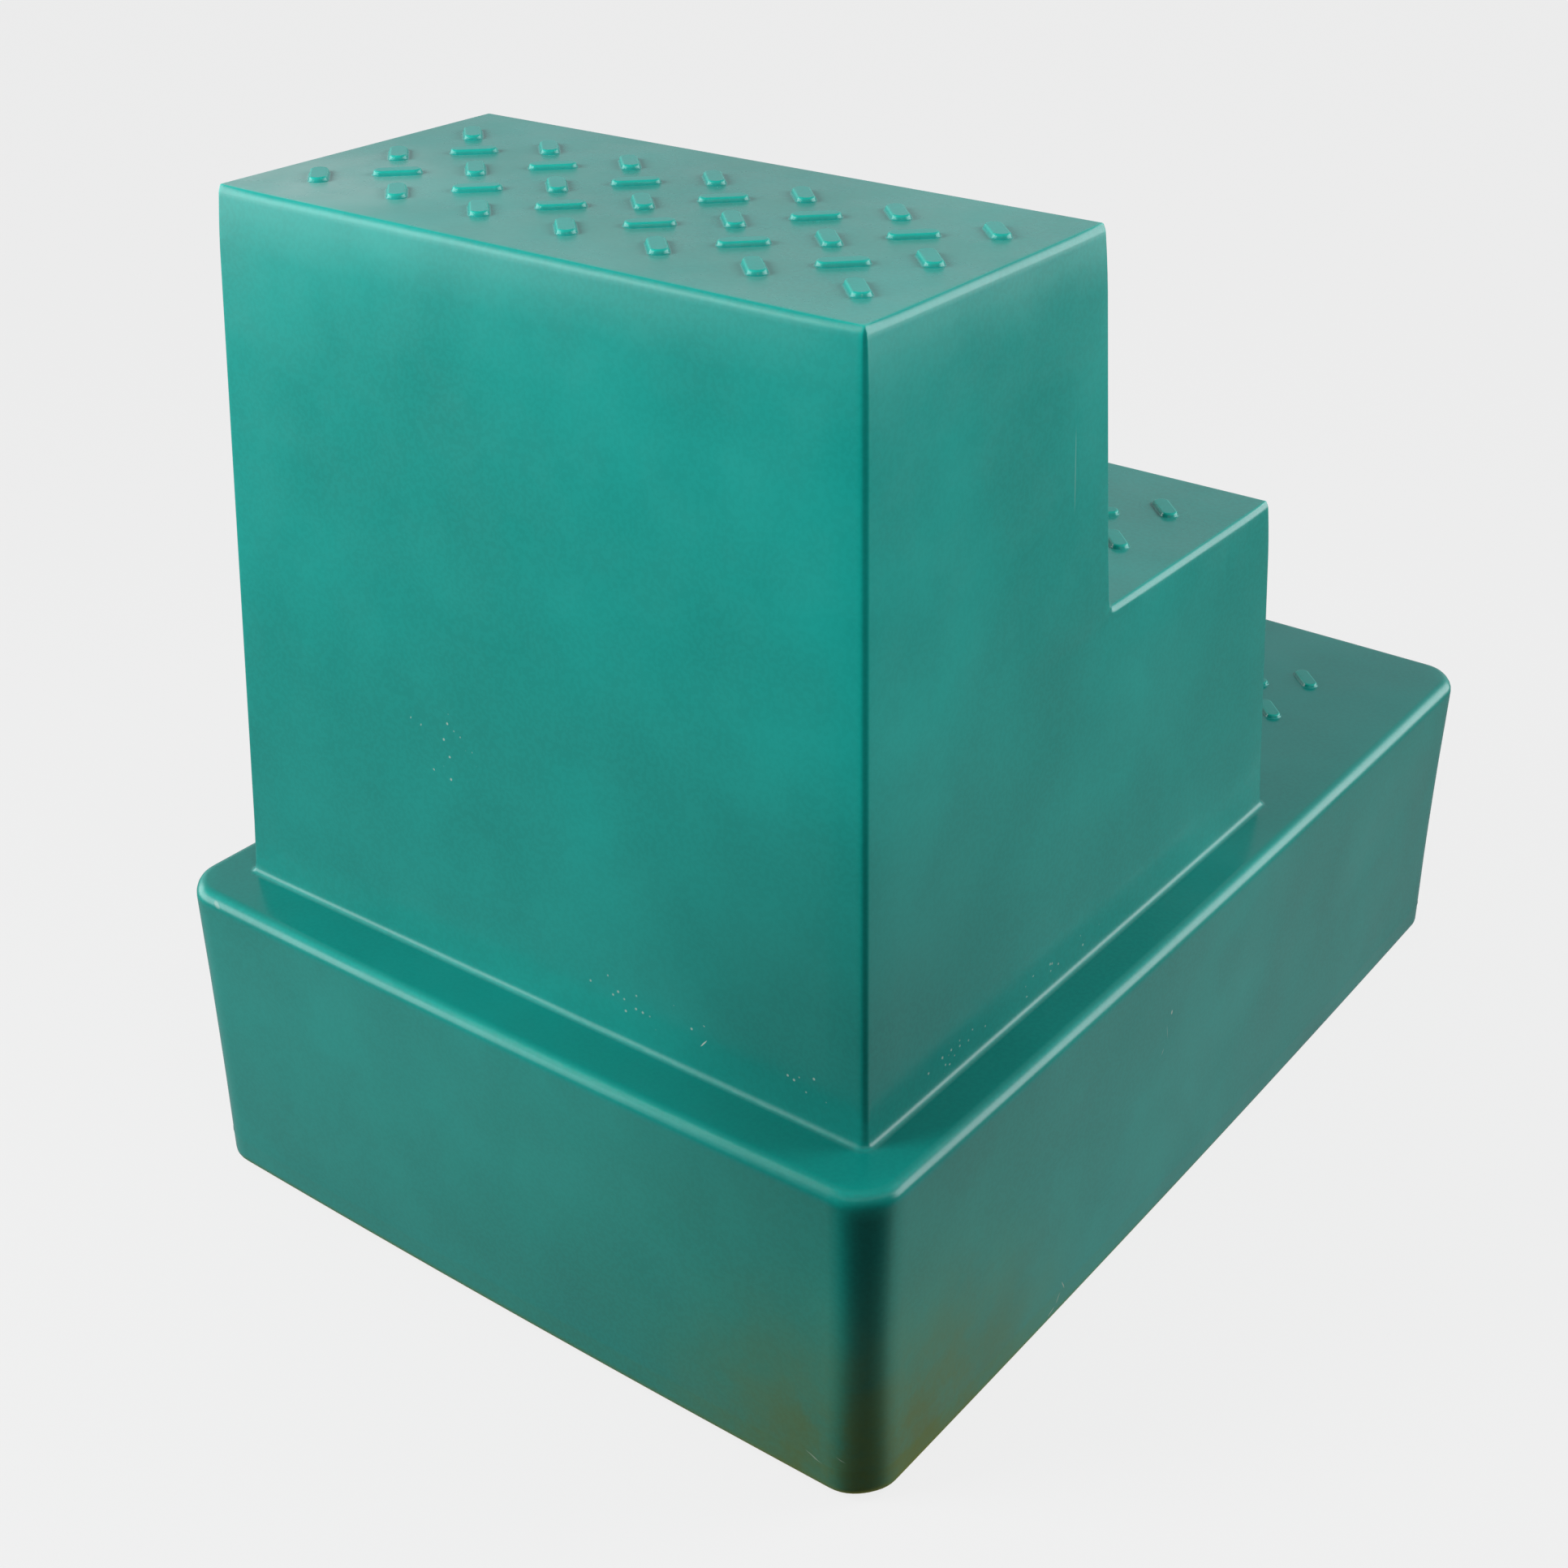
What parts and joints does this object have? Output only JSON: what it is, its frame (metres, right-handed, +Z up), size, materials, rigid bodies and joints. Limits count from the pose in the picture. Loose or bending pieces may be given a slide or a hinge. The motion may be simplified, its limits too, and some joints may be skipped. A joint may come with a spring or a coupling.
{
  "type": "mounting block",
  "caption": "Hollow moulded plastic step block for mounting a horse: stepped treads with raised grip pads, a ledge round the base, rubber feet and a screwed ballast filler.",
  "frame": {"origin": "on the ground, under the middle of the base", "axes": "+Z up; +Y the way a rider climbs, from the first tread to the tall end; +X to the rider's right, the side that holds the filler"},
  "size_m": [0.502, 0.712, 0.6026],
  "materials": {
    "moulding": "green-teal polyethylene, satin gloss as moulded",
    "bush": "black polypropylene, moulded",
    "bung": "black polypropylene, moulded",
    "seal": "black sheet rubber",
    "vent": "black polyethylene, moulded",
    "foot": "black rubber, dull",
    "screw": "stainless steel",
    "washer": "stainless steel",
    "insert": "turned brass"
  },
  "bodies": {
    "block": {"body_shell": "moulding", "filler_bush": "bush", "vent_plug": "vent", "foot_front_left": "foot", "foot_front_right": "foot", "foot_rear_left": "foot", "foot_rear_right": "foot", "foot_inserts": "insert", "foot_screws": "screw", "foot_washers": "washer"},
    "seal": {"bung_seal": "seal"},
    "bung": {"filler_bung": "bung"}
  },
  "joints": [
    {"name": "bung_travel", "type": "slide", "parent": "block", "child": "seal", "axis": [1, 0, 0], "range_m": [0, 0.045]},
    {"name": "bung_turn", "type": "hinge", "parent": "seal", "child": "bung", "pos_m": [0.234, 0.23, 0.066], "axis": [1, 0, 0], "range_deg": [0, 3240]}
  ],
  "couplings": [
    {"joint": "bung_travel", "follows": "bung_turn", "m_per_rad": 0.00079577}
  ]
}
